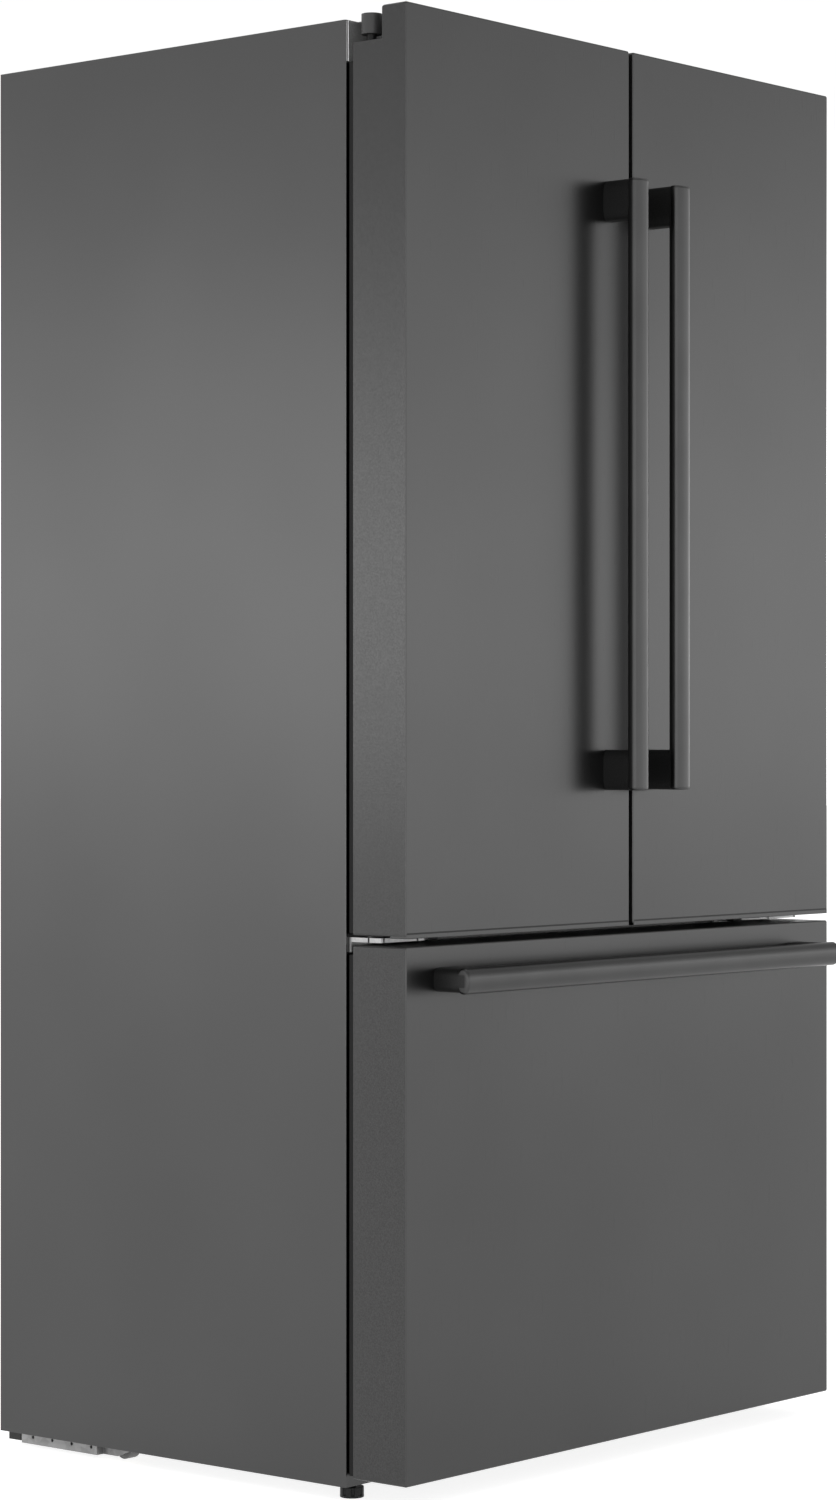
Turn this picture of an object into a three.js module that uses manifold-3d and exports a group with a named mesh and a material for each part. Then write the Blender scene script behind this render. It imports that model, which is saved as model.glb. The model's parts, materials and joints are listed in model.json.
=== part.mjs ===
// French door refrigerator: two hinged fresh-food doors over a pull-out freezer drawer.
// Millimetres, +Z up, front towards -Y. The origin is on the floor, at the middle of the whole object.
import * as THREE from 'three';
import { mergeVertices } from 'three/addons/utils/BufferGeometryUtils.js';
import Module from 'manifold-3d';

const wasm = await Module();
wasm.setup();

// ---- driving dimensions ----
const WIDTH = 905;
const HEIGHT = 1829;
const DEPTH = 761;
const HANDLE_REACH = 55;
const DOOR_DEPTH = 84.6;
const SEAL_GAP = 12.4;
const CASE_TOP = 1818;
const CASE_BOTTOM = 18;
const UPPER_DOOR_BOTTOM = 695.8;
const DRAWER_TOP = 684;
const DRAWER_BOTTOM = 30;
const SPLIT_GAP = 8.4;
const SHEET = 1.2;
const SKIN = 1;
const LINER = 2;
const GAP = 0.3;
const CORNER = 3;
const PAST = 5; // how far a cutting solid runs on past the face that it cuts

const SIDE = WIDTH / 2;
const BACK = DEPTH / 2;
const DOOR_FACE = -BACK + HANDLE_REACH;
const DOOR_REAR = DOOR_FACE + DOOR_DEPTH;
const CASE_FRONT = DOOR_REAR + SEAL_GAP;

// compartments, as the inside faces of their liners
const CAVITY_SIDE = 405;
const FRESH = { z0: 732, z1: 1760, y1: 330 };
const FREEZER = { z0: 77, z1: 653, y1: 315, stepY: 100, stepZ: 312 };
const MACHINE = { y0: 150, z1: 262, side: 430 };

// door hinges
const PIN_INSET = 16;
const PIN_SETBACK = 68;
const PIN_RADIUS = 6;
const RUNNING = 0.15;
const PIN_X = SIDE - PIN_INSET;
const PIN_Y = DOOR_FACE + PIN_SETBACK;
const NOTCH = { width: 70, setback: 38, z0: 1788, round: 4 };
const KNUCKLE = { radius: 13, z0: 1798, z1: 1823 };

// handles
const BAR = { width: 32, depth: 20, post: 53, endBevel: 1.5 };
const DOOR_BAR = { x: 44.8, z0: 870, z1: 1655 };
const DRAWER_BAR = { z: 642, inset: 52 };

// door furniture
const SEAL = { width: 14, hingeInset: 26, splitInset: 8, groove: 2.5, grooveY: 5, grooveWidth: 2.5 };
const DYKE = { hinge: 390, split: 46, wall: 22, depth: 44, z0: 962, z1: 1745 };
const BIN_LEVELS = [985, 1330];
const BIN = { height: 130, depth: 105, wall: 2.5 };
const MULLION = { x: -27, thick: 18, width: 72, z0: 742, z1: 1750 };

// compartment furniture
const SHELF_GLASS = 5;
const SHELF = { y0: -110, y1: 294, split: 1450, full: 1190 };
const CRISPER = { y0: -150, y1: 300, z0: 745, z1: 930, side: 380, wall: 3 };
const RAIL = { z: 445, y0: -213, y1: 235, outer: 30, middle: 24, inner: 18 };

const STEEL = { color: 0x57585a, metalness: 0.9, roughness: 0.34 };
const GRAIN = { color: 0x47484a, metalness: 0.5, roughness: 0.55 };
const WHITE = { color: 0xeceeee, metalness: 0, roughness: 0.45 };
const FOAM = { color: 0xe0cf9a, metalness: 0, roughness: 0.9 };
const BLACK = { color: 0x1b1c1d, metalness: 0, roughness: 0.5 };
const ZINC = { color: 0xc4c6c6, metalness: 0.85, roughness: 0.35 };
const ALUMINIUM = { color: 0xb9bcbf, metalness: 0.9, roughness: 0.4 };
const CLEAR = { color: 0xdde8ec, metalness: 0, roughness: 0.1, transparent: true, opacity: 0.4 };

// ---- solids ----
function solid(geometry) {
  geometry.deleteAttribute('normal');
  geometry.deleteAttribute('uv');
  const merged = mergeVertices(geometry, 1e-4);
  return new wasm.Manifold(new wasm.Mesh({
    numProp: 3,
    vertProperties: new Float32Array(merged.attributes.position.array),
    triVerts: new Uint32Array(merged.index.array),
  }));
}

function box(x0, x1, y0, y1, z0, z1) {
  const geometry = new THREE.BoxGeometry(x1 - x0, y1 - y0, z1 - z0);
  geometry.translate((x0 + x1) / 2, (y0 + y1) / 2, (z0 + z1) / 2);
  return solid(geometry);
}

// A round bar along 'x', 'y' or 'z', from a to b on that axis.
function rod(axis, a, b, radius, u, v, sides = 24) {
  const geometry = new THREE.CylinderGeometry(radius, radius, b - a, sides);
  const middle = (a + b) / 2;
  if (axis === 'x') geometry.rotateZ(Math.PI / 2).translate(middle, u, v);
  if (axis === 'y') geometry.translate(u, middle, v);
  if (axis === 'z') geometry.rotateX(Math.PI / 2).translate(u, v, middle);
  return solid(geometry);
}

// A plan outline (x, y) raised from z0 to z1.
function column(outline, z0, z1, curveSegments = 6) {
  const geometry = new THREE.ExtrudeGeometry(outline, {
    depth: z1 - z0, bevelEnabled: false, curveSegments,
  });
  return solid(geometry.translate(0, 0, z0));
}

// A side outline (y, z) carried from x0 to x1.
function beam(outline, x0, x1, curveSegments = 6) {
  const geometry = new THREE.ExtrudeGeometry(outline, {
    depth: x1 - x0, bevelEnabled: false, curveSegments,
  });
  geometry.applyMatrix4(new THREE.Matrix4().set(0, 0, 1, x0, 1, 0, 0, 0, 0, 1, 0, 0, 0, 0, 0, 1));
  return solid(geometry);
}

function join(first, ...rest) {
  return rest.reduce((sum, next) => sum.add(next), first);
}

function cut(first, ...rest) {
  return rest.reduce((left, next) => left.subtract(next), first);
}

function mirror(piece) {
  return piece.mirror([1, 0, 0]);
}

const refrigerator = new THREE.Group();

function place(name, piece, finish) {
  const mesh = piece.getMesh();
  const geometry = new THREE.BufferGeometry();
  geometry.setAttribute('position', new THREE.BufferAttribute(mesh.vertProperties, 3));
  geometry.setIndex(new THREE.BufferAttribute(mesh.triVerts, 1));
  const node = new THREE.Mesh(geometry, new THREE.MeshStandardMaterial(finish));
  node.name = name;
  refrigerator.add(node);
}

// A right-hand piece and its mirror image on the left.
function placePair(name, piece, finish) {
  place(`${name}_right`, piece, finish);
  place(`${name}_left`, mirror(piece), finish);
}

// A tray, bin or tub: a box open at the top.
function tub(x0, x1, y0, y1, z0, z1, wall) {
  const inside = box(x0 + wall, x1 - wall, y0 + wall, y1 - wall, z0 + wall, z1 + 1);
  return cut(box(x0, x1, y0, y1, z0, z1), inside);
}

// ---- cabinet ----
// The compartment spaces, grown on every side: 0 is inside the liner, LINER is its outside.
function freshSpace(grow) {
  const front = CASE_FRONT - PAST;
  return box(-CAVITY_SIDE - grow, CAVITY_SIDE + grow, front, FRESH.y1 + grow,
    FRESH.z0 - grow, FRESH.z1 + grow);
}

function freezerSpace(grow) {
  const side = CAVITY_SIDE + grow;
  const front = CASE_FRONT - PAST;
  const lower = box(-side, side, front, FREEZER.stepY + grow, FREEZER.z0 - grow, FREEZER.z1 + grow);
  const upper = box(-side, side, front, FREEZER.y1 + grow, FREEZER.stepZ - grow, FREEZER.z1 + grow);
  return join(lower, upper);
}

function casePlan(inset) {
  const plan = new THREE.Shape();
  const side = SIDE - inset;
  const front = CASE_FRONT + inset;
  const round = CORNER - inset;
  plan.moveTo(side, BACK);
  plan.lineTo(-side, BACK);
  plan.lineTo(-side, front + round);
  plan.absarc(-side + round, front + round, round, Math.PI, 1.5 * Math.PI, false);
  plan.lineTo(side - round, front);
  plan.absarc(side - round, front + round, round, 1.5 * Math.PI, 2 * Math.PI, false);
  plan.closePath();
  return plan;
}

const FOOT = { x: SIDE - 35, y: CASE_FRONT + 20, radius: 15, height: 13, stem: 5, top: 50, hole: 6 };

function footHoles(top) {
  return [-1, 1].map((s) => rod('z', 0, top, FOOT.hole, s * FOOT.x, FOOT.y));
}

function outerCase() {
  const outside = column(casePlan(0), CASE_BOTTOM, CASE_TOP);
  const inside = join(
    column(casePlan(SHEET), CASE_BOTTOM + SHEET, CASE_TOP - SHEET),
    box(-SIDE + SHEET, SIDE - SHEET, MACHINE.y0, BACK + PAST, CASE_BOTTOM - PAST, CASE_TOP - SHEET),
  );
  return cut(outside, inside, freshSpace(LINER + GAP), freezerSpace(LINER + GAP), ...footHoles(2 * FOOT.top));
}

function insulation() {
  const edge = SIDE - SHEET - GAP;
  const front = CASE_FRONT + SHEET + GAP;
  const block = box(-edge, edge, front, BACK - SHEET - 2 * GAP, CASE_BOTTOM + 2 * SHEET + GAP,
    CASE_TOP - SHEET - GAP);
  const machine = box(-MACHINE.side, MACHINE.side, MACHINE.y0, BACK + PAST, 0, MACHINE.z1);
  const corner = box(edge - CORNER, edge + PAST, front - PAST, front + CORNER, 0, HEIGHT);
  return cut(block, freshSpace(LINER + GAP), freezerSpace(LINER + GAP), machine, corner, mirror(corner),
    ...footHoles(FOOT.top + 2));
}

function linerShell(space) {
  const frontTrim = box(-SIDE, SIDE, CASE_FRONT - 2 * PAST, CASE_FRONT, 0, HEIGHT);
  return cut(space(LINER), space(0), frontTrim);
}

const TRAY_LEDGE = { z0: 478, z1: 484.6, depth: 12, y0: -205, y1: 235 };

function freezerLiner() {
  const ledge = box(CAVITY_SIDE - TRAY_LEDGE.depth, CAVITY_SIDE + 1, TRAY_LEDGE.y0, TRAY_LEDGE.y1,
    TRAY_LEDGE.z0, TRAY_LEDGE.z1);
  return join(linerShell(freezerSpace), ledge, mirror(ledge));
}

function rearPanel() {
  const edge = SIDE - SHEET - GAP;
  return box(-edge, edge, BACK - SHEET, BACK, MACHINE.z1 + 1, CASE_TOP - SHEET - GAP);
}

// ---- machine compartment ----
const ROLLER = { radius: 14, bore: 3.12, axle: 3, x0: 406, x1: 424, y: 180 };
const BASE = { side: 447, plate: 1.5, z: 18.5, overlap: 0.8, y0: 160, y1: 372 };
const BASE_SKIRT = {
  low: 5, y0: 206, y1: 346, holes: 4, pitch: 36, holeY: 270.5, holeZ: 14.5, holeRadius: 2.2,
};
const CHEEK = { thick: 2, inner: ROLLER.x0 - 5, outer: BASE.side - 14, frontZ: 13 };
const WHEEL_SLOT = { side: 3, reach: 18 };

// The side view of a roller cheek: its lower edge slopes down towards the axle.
function cheek(x) {
  const top = BASE.z + BASE.overlap;
  const outline = new THREE.Shape();
  outline.moveTo(BASE.y0, top);
  outline.lineTo(BASE.y0, CHEEK.frontZ);
  outline.lineTo(ROLLER.y, BASE_SKIRT.low);
  outline.lineTo(BASE_SKIRT.y0 + 1, BASE_SKIRT.low);
  outline.lineTo(BASE_SKIRT.y0 + 1, top);
  outline.closePath();
  return beam(outline, x, x + CHEEK.thick);
}

// The bright edge of the base pan that hangs under the cabinet's side, with a row of holes.
function baseSkirt() {
  const { low, y0, y1, holes, pitch, holeY, holeZ, holeRadius } = BASE_SKIRT;
  let skirt = box(BASE.side - BASE.plate, BASE.side, y0, y1, low, BASE.z + 1);
  for (let i = 0; i < holes; i++) {
    const y = holeY + (i - (holes - 1) / 2) * pitch;
    skirt = cut(skirt, rod('x', 0, SIDE, holeRadius, y, holeZ, 8));
  }
  return skirt;
}

function compressorBase() {
  const top = BASE.z + BASE.overlap;
  const plate = box(-BASE.side, BASE.side, BASE.y0, BASE.y1, BASE.z, BASE.z + BASE.plate);
  const slot = box(ROLLER.x0 - WHEEL_SLOT.side, ROLLER.x1 + WHEEL_SLOT.side,
    ROLLER.y - WHEEL_SLOT.reach, ROLLER.y + WHEEL_SLOT.reach, 0, 2 * BASE.z);
  const brace = box(CHEEK.outer, BASE.side, BASE_SKIRT.y0, BASE_SKIRT.y0 + CHEEK.thick, BASE_SKIRT.low, top);
  const axle = rod('x', CHEEK.inner, CHEEK.outer + CHEEK.thick, ROLLER.axle, ROLLER.y, ROLLER.radius, 16);
  const tail = box(BASE.side - 12, BASE.side - 2, BASE_SKIRT.y1 + 4, BASE.y1, BASE_SKIRT.low + 2, BASE.z + 1);
  let base = cut(plate, slot, mirror(slot));
  for (const piece of [baseSkirt(), cheek(CHEEK.outer), cheek(CHEEK.inner), brace, axle, tail]) {
    base = join(base, piece, mirror(piece));
  }
  return base;
}

function roller() {
  const { radius, bore, x0, x1, y } = ROLLER;
  return cut(rod('x', x0, x1, radius, y, radius, 24), rod('x', x0 - 1, x1 + 1, bore, y, radius, 16));
}

const FOOT_NOTCH = { count: 8, radius: 2.4, z0: 3 };

// A levelling foot: a notched knob on a threaded stem.
function foot() {
  const { x, y, radius, height, stem, top } = FOOT;
  let knob = rod('z', 0, height, radius, x, y, 24);
  for (let i = 0; i < FOOT_NOTCH.count; i++) {
    const turn = (i * 2 * Math.PI) / FOOT_NOTCH.count;
    const [nx, ny] = [x + radius * Math.cos(turn), y + radius * Math.sin(turn)];
    knob = cut(knob, rod('z', FOOT_NOTCH.z0, height + 1, FOOT_NOTCH.radius, nx, ny, 8));
  }
  return join(knob, rod('z', height - 1, top, stem, x, y, 16));
}

const COMPRESSOR = { x: -230, y: 262, radius: 82, z0: 42, z1: 222, dome: 46, sump: 22, sumpShare: 0.55 };
const COMPRESSOR_PLATE = { x: 105, y: 62, z: 6, mountX: 90, mountY: 48, mountRadius: 11 };

// A welded can with a rounded sump and a domed top, on a plate with four rubber mounts.
function compressor() {
  const { x, y, radius, z0, z1, dome, sump, sumpShare } = COMPRESSOR;
  const profile = [new THREE.Vector2(0, z0)];
  for (let i = 0; i <= 3; i++) {
    const turn = (i / 3) * (Math.PI / 2);
    const r = radius * (sumpShare + (1 - sumpShare) * Math.sin(turn));
    profile.push(new THREE.Vector2(r, z0 + sump * (1 - Math.cos(turn))));
  }
  for (let i = 0; i <= 4; i++) {
    const turn = (i / 4) * (Math.PI / 2);
    const r = i === 4 ? 0 : radius * Math.cos(turn);
    profile.push(new THREE.Vector2(r, z1 - dome + dome * Math.sin(turn)));
  }
  const can = solid(new THREE.LatheGeometry(profile, 20).rotateX(Math.PI / 2).translate(x, y, 0));
  const plate = COMPRESSOR_PLATE;
  let piece = join(can, box(x - plate.x, x + plate.x, y - plate.y, y + plate.y, z0 - plate.z, z0 + 1));
  for (const dx of [-plate.mountX, plate.mountX]) {
    for (const dy of [-plate.mountY, plate.mountY]) {
      const foot = BASE.z + BASE.plate + GAP;
      piece = join(piece, rod('z', foot, z0 - plate.z + 2, plate.mountRadius, x + dx, y + dy, 8));
    }
  }
  return piece;
}

const CONDENSER = { x0: 100, x1: 300, y0: 195, y1: 335, z0: 70, z1: 225, fins: 12, tubes: 4 };

const COIL = { fin: 1.2, tube: 3, tubeInset: 5, bend: 12 };

// A coil block: thin fins on flat tubes that run along X and stick out past the two end fins.
function coil({ x0, x1, y0, y1, z0, z1, fins, tubes }) {
  const pitch = (x1 - x0) / (fins - 1);
  const half = COIL.fin / 2;
  let block = box(x0 - half, x0 + half, y0, y1, z0, z1);
  for (let i = 1; i < fins; i++) {
    const x = x0 + i * pitch;
    block = join(block, box(x - half, x + half, y0, y1, z0, z1));
  }
  for (let i = 0; i < tubes; i++) {
    const z = z0 + ((i + 0.5) * (z1 - z0)) / tubes;
    block = join(block, box(x0 - COIL.bend, x1 + COIL.bend, y0 + COIL.tubeInset, y1 - COIL.tubeInset,
      z - COIL.tube / 2, z + COIL.tube / 2));
  }
  return block;
}

const FAN = { y: 265, z: 145, radius: 68, hub: 18, x0: 12, x1: 34, shaft: 3 };
const BLADE = { count: 5, thick: 2, widthShare: 2.1, pitch: 0.55, root: 4, blindEnd: 4 };

// Pitched blades round a hub, turning about X, centred on the origin, with a blind bore from -X.
function impeller(radius, hub, width, bore) {
  const reach = radius - hub + BLADE.root;
  let wheel = rod('x', -width / 2, width / 2, hub, 0, 0, 20);
  for (let i = 0; i < BLADE.count; i++) {
    const blade = new THREE.BoxGeometry(BLADE.thick, hub * BLADE.widthShare, reach);
    blade.translate(0, 0, hub - BLADE.root + reach / 2);
    blade.applyMatrix4(new THREE.Matrix4().makeRotationZ(BLADE.pitch));
    blade.applyMatrix4(new THREE.Matrix4().makeRotationX((i * 2 * Math.PI) / BLADE.count));
    wheel = join(wheel, solid(blade));
  }
  const sweep = rod('x', -width / 2 - 1, width / 2 + 1, radius, 0, 0, 24);
  return cut(wheel.intersect(sweep), rod('x', -width, width / 2 - BLADE.blindEnd, bore, 0, 0, 16));
}

function condenserFan() {
  const wheel = impeller(FAN.radius, FAN.hub, FAN.x1 - FAN.x0, FAN.shaft + 0.1);
  return wheel.mirror([1, 0, 0]).translate([(FAN.x0 + FAN.x1) / 2, FAN.y, FAN.z]);
}

const BRACKET = {
  x: 44, thick: 3, side: 90, above: 92, ring: 76, arm: 82, armHalf: 6, motor: 22, motorLength: 34,
};

function fanBracket() {
  const { y, z, shaft } = FAN;
  const { x, thick, side, above, ring, arm, armHalf, motor, motorLength } = BRACKET;
  const frame = cut(
    box(x, x + thick, y - side, y + side, BASE.z + BASE.plate + GAP, z + above),
    rod('x', x - 1, x + thick + 1, ring, y, z, 24));
  const crossArm = box(x, x + thick, y - arm, y + arm, z - armHalf, z + armHalf);
  const post = box(x, x + thick, y - armHalf, y + armHalf, z, z + arm + 2);
  const can = rod('x', x, x + motorLength, motor, y, z, 20);
  const spindle = rod('x', FAN.x0 + 6, x + 1, shaft, y, z, 16);
  return join(frame, crossArm, post, can, spindle);
}

const INLET = { x: 350, z: 215, depth: 24, halfX: 16.5, halfZ: 12.5, wall: 3.5, floor: 4 };
const LOUVRE = { groups: [-280, -120, 200], half: 60, count: 7, z0: 78, pitch: 22, height: 7 };

function machineCover() {
  let cover = box(-SIDE + SHEET + GAP, SIDE - SHEET - GAP, BACK - SHEET, BACK, 24, MACHINE.z1 + 0.5);
  const [y0, y1] = [BACK - PAST, BACK + PAST];
  for (const x of LOUVRE.groups) {
    for (let i = 0; i < LOUVRE.count; i++) {
      const z = LOUVRE.z0 + i * LOUVRE.pitch;
      cover = cut(cover, box(x - LOUVRE.half, x + LOUVRE.half, y0, y1, z, z + LOUVRE.height));
    }
  }
  const { x, z, halfX, halfZ } = INLET;
  const clear = 0.5;
  return cut(cover, box(x - halfX - clear, x + halfX + clear, y0, y1, z - halfZ - clear, z + halfZ + clear));
}

// A recessed socket with three flat pins.
function powerInlet() {
  const { x, z, depth, halfX, halfZ, wall, floor } = INLET;
  const body = box(x - halfX, x + halfX, BACK - depth, BACK, z - halfZ, z + halfZ);
  const recess = box(x - halfX + wall, x + halfX - wall, BACK - depth + floor, BACK + 1,
    z - halfZ + wall, z + halfZ - wall);
  let inlet = cut(body, recess);
  for (const [dx, dz] of [[-7, 2], [0, -3], [7, 2]]) {
    const pin = box(x + dx - 1, x + dx + 1, BACK - depth + 2, BACK - PAST, z + dz - 2.5, z + dz + 2.5);
    inlet = join(inlet, pin);
  }
  return inlet;
}

const PAN = { x0: 75, x1: 390, y0: 165, y1: 362, z0: 22, z1: 52, wall: 2.5 };

function drainPan() {
  const { x0, x1, y0, y1, z0, z1, wall } = PAN;
  return tub(x0, x1, y0, y1, z0, z1, wall);
}

// ---- freezer cooling ----
const EVAPORATOR = { x0: -290, x1: 290, y0: 262, y1: 306, z0: 330, z1: 480, fins: 15, tubes: 3 };
const COLD_FAN = { y: 270, z: 575, radius: 52, hub: 15, width: 16, shaft: 2.5, bore: 2.6, opening: 56 };
const COVER = {
  y0: 250, thick: 3, vents: 4, ventX: 230, ventHalf: 90, ventZ: 545, ventPitch: 18, ventHeight: 8,
};
const FAN_STAND = { half: 62, leg: 6, y0: 293, y1: 298, motorY0: 284, motorY1: 300, motor: 18 };

function evaporatorCover() {
  const { y0, thick, vents, ventX, ventHalf, ventZ, ventPitch, ventHeight } = COVER;
  const edge = CAVITY_SIDE - 0.5;
  const y1 = y0 + thick;
  let cover = box(-edge, edge, y0, y1, FREEZER.stepZ + 0.5, FREEZER.z1 - 0.5);
  for (const x of [-ventX, ventX]) {
    for (let i = 0; i < vents; i++) {
      const z = ventZ + i * ventPitch;
      cover = cut(cover, box(x - ventHalf, x + ventHalf, y0 - 1, y1 + 1, z, z + ventHeight));
    }
  }
  const { z, shaft, opening } = COLD_FAN;
  const { half, leg } = FAN_STAND;
  cover = cut(cover, rod('y', y0 - 1, y1 + 1, opening, 0, z, 24));
  const stand = box(half - leg, half, y0 + 1, FAN_STAND.y1, z - leg, z + leg);
  const bridge = box(-half, half, FAN_STAND.y0, FAN_STAND.y1, z - leg, z + leg);
  const motor = rod('y', FAN_STAND.motorY0, FAN_STAND.motorY1, FAN_STAND.motor, 0, z, 20);
  const spindle = rod('y', COLD_FAN.y - 2, FAN_STAND.motorY0 + 1, shaft, 0, z, 16);
  return join(cover, stand, mirror(stand), bridge, motor, spindle);
}

function coldFan() {
  const { y, z, radius, hub, width, bore } = COLD_FAN;
  const wheel = impeller(radius, hub, width, bore).mirror([1, 0, 0]);
  return wheel.rotate([0, 0, -90]).mirror([0, 1, 0]).translate([0, y, z]);
}

// ---- fresh-food compartment ----
const TOWER = {
  half: 90, wall: 8, y0: 298, z0: 990, z1: 1740, slots: 6, slotZ: 1060, pitch: 118, slotHalf: 60,
};

function airTower() {
  const { half, wall, y0, z0, z1, slots, slotZ, pitch, slotHalf } = TOWER;
  let tower = cut(box(-half, half, y0, FRESH.y1 - GAP, z0, z1),
    box(-half + wall, half - wall, y0 + wall, FRESH.y1 + 1, z0 + wall, z1 - wall));
  for (let i = 0; i < slots; i++) {
    const z = slotZ + i * pitch;
    tower = cut(tower, box(-slotHalf, slotHalf, y0 - wall, y0 + wall + 4, z, z + 10));
  }
  return tower;
}

const PANEL = { half: 150, rim: 12, y0: -130, y1: -40, depth: 16, recess: 14.5 };

// The lamp and control housing under the roof of the compartment, recessed from below.
function controlPanel() {
  const { half, rim, y0, y1, depth, recess } = PANEL;
  const top = FRESH.z1;
  const panel = box(-half, half, y0, y1, top - depth, top - GAP);
  const inside = half - rim;
  return cut(panel, box(-inside, inside, y0 + rim - 2, y1 - rim + 2, top - depth - PAST, top - recess));
}

function shelf(x0, x1, z) {
  return box(x0, x1, SHELF.y0, SHELF.y1, z, z + SHELF_GLASS);
}

const FRAME = {
  y0: -138, y1: 327, front: -120, back: 312, side: 26, middle: 8, low: 8, high: 20, wallY: 8,
};

// A rim over the crispers with two openings, a middle divider and two side walls.
function crisperFrame() {
  const edge = CAVITY_SIDE - 0.5;
  const { y0, y1, front, back, side, middle, low, high, wallY } = FRAME;
  const top = CRISPER.z1;
  const window = box(middle, edge - side, front, back, top, top + high + PAST);
  const rim = cut(box(-edge, edge, y0, y1, top + low, top + high), window, mirror(window));
  const [wallZ0, wallZ1] = [FRESH.z0 + GAP, top + low + 4];
  const divider = box(-2.5, 2.5, y0 + wallY, y1 - wallY + 1, wallZ0, wallZ1);
  const wall = box(CRISPER.side + 2.5, edge, y0 + wallY, y1 - wallY + 1, wallZ0, wallZ1);
  return join(rim, divider, wall, mirror(wall));
}

const GRIP = { x0: 40, x1: 345, reach: 14, low: 12, high: 7 };

function crisper() {
  const { y0, y1, z0, z1, side, wall } = CRISPER;
  const bin = tub(5, side, y0, y1, z0, z1, wall);
  return join(bin, box(GRIP.x0, GRIP.x1, y0 - GRIP.reach, y0 + 1, z1 - GRIP.low, z1 - GRIP.high));
}

// ---- hinges ----
const TOP_HINGE = {
  near: 40, far: 110, y0: CASE_FRONT + 4, y1: CASE_FRONT + 98, thick: 4, pinDepth: 28,
  armSide: 9.5, armLength: 58, armTurn: 49.8,
};

// A plate on the cabinet's roof, a slanting arm over the door's notch, a round knuckle and the pin below it.
function topHinge() {
  const { near, far, y0, y1, thick, pinDepth, armSide, armLength, armTurn } = TOP_HINGE;
  const plate = box(SIDE - far, SIDE - near, y0, y1, CASE_TOP + GAP, CASE_TOP + thick);
  const bar = new THREE.BoxGeometry(2 * armSide, armLength, KNUCKLE.z1 - CASE_TOP - GAP);
  bar.translate(0, armLength / 2, 0).rotateZ(THREE.MathUtils.degToRad(armTurn));
  const bridge = solid(bar.translate(PIN_X, PIN_Y, (KNUCKLE.z1 + CASE_TOP + GAP) / 2));
  const knuckle = rod('z', KNUCKLE.z0, KNUCKLE.z1, KNUCKLE.radius, PIN_X, PIN_Y, 28);
  const pin = rod('z', NOTCH.z0 - pinDepth, KNUCKLE.z0 + 1, PIN_RADIUS, PIN_X, PIN_Y);
  return join(plate, bridge, knuckle, pin);
}

const MIDDLE_HINGE = {
  z0: 687.2, z1: 693, low: 674.6, near: 6.5, far: 139, front: 46.5, top: 716, root: 20, flange: 3.4,
  shoulder: 74, slit: 2.6, slitDepth: 6,
};

// A bracket off the cabinet's front between the doors and the drawer, with the lower pin of the door.
function middleHinge() {
  const { z0, z1, low, near, far, front, top, root, flange, shoulder, slit, slitDepth } = MIDDLE_HINGE;
  const rear = CASE_FRONT - GAP;
  const y0 = DOOR_FACE + front;
  const edge = SIDE - near;
  const plan = new THREE.Shape();
  plan.moveTo(SIDE - far, rear);
  plan.lineTo(SIDE - far, CASE_FRONT - root);
  plan.lineTo(PIN_X - shoulder, y0);
  plan.lineTo(PIN_X + 5, y0);
  plan.quadraticCurveTo(edge, y0, edge, PIN_Y);
  plan.lineTo(edge, rear);
  plan.closePath();
  const plate = cut(column(plan, z0, z1, 5),
    box(edge - slitDepth, edge + 1, PIN_Y - 4, PIN_Y - 4 + slit, z0 - 1, z1 + 1),
    box(PIN_X + 1, PIN_X + 1 + slit, y0 - 1, y0 + slitDepth, z0 - 1, z1 + 1),
    box(PIN_X - shoulder + 12, PIN_X - shoulder + 12 + slit, y0 - 1, y0 + slitDepth, z0 - 1, z1 + 1));
  const leg = box(SIDE - far, edge, rear - flange, rear, low, z1);
  return join(plate, leg, rod('z', z1 - 1, top, PIN_RADIUS, PIN_X, PIN_Y));
}

// ---- door and drawer fronts ----
// A rectangle with rounded corners, from a to b across and from c to d up.
function roundedRectangle(a, b, c, d, round) {
  const outline = new THREE.Shape();
  outline.moveTo(a + round, c);
  outline.lineTo(b - round, c);
  outline.absarc(b - round, c + round, round, -Math.PI / 2, 0, false);
  outline.lineTo(b, d - round);
  outline.absarc(b - round, d - round, round, 0, Math.PI / 2, false);
  outline.lineTo(a + round, d);
  outline.absarc(a + round, d - round, round, Math.PI / 2, Math.PI, false);
  outline.lineTo(a, c + round);
  outline.absarc(a + round, c + round, round, Math.PI, 1.5 * Math.PI, false);
  return outline;
}

const FACE_BEVEL = 2;

// The full body of a front panel with every face moved in by inset; its rear runs on past the back.
function panelBody(x0, x1, z0, z1, inset) {
  const steps = inset > 0 ? 1 : 3;
  const length = DOOR_DEPTH + 4 * PAST;
  const outline = roundedRectangle(x0 + inset, x1 - inset, z0 + inset, z1 - inset, CORNER);
  const geometry = new THREE.ExtrudeGeometry(outline, {
    depth: length, bevelEnabled: true, bevelThickness: FACE_BEVEL, bevelSize: FACE_BEVEL,
    bevelOffset: -FACE_BEVEL, bevelSegments: steps, curveSegments: steps,
  });
  geometry.rotateX(Math.PI / 2).translate(0, DOOR_FACE + inset + length + FACE_BEVEL, 0);
  return solid(geometry);
}

// The hinge notch in the top rear corner of the right-hand door.
function hingeNotch(inset) {
  const y = DOOR_FACE + NOTCH.setback - inset;
  const top = HEIGHT - inset;
  const outline = new THREE.Shape();
  outline.moveTo(y, NOTCH.z0 - inset);
  outline.lineTo(y, top - NOTCH.round);
  outline.absarc(y - NOTCH.round, top - NOTCH.round, NOTCH.round, 0, Math.PI / 2, false);
  outline.lineTo(y - NOTCH.round, top + PAST);
  outline.lineTo(y + DOOR_DEPTH, top + PAST);
  outline.lineTo(y + DOOR_DEPTH, NOTCH.z0 - inset);
  outline.closePath();
  return beam(outline, SIDE - NOTCH.width - inset, SIDE + PAST, 4);
}

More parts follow.
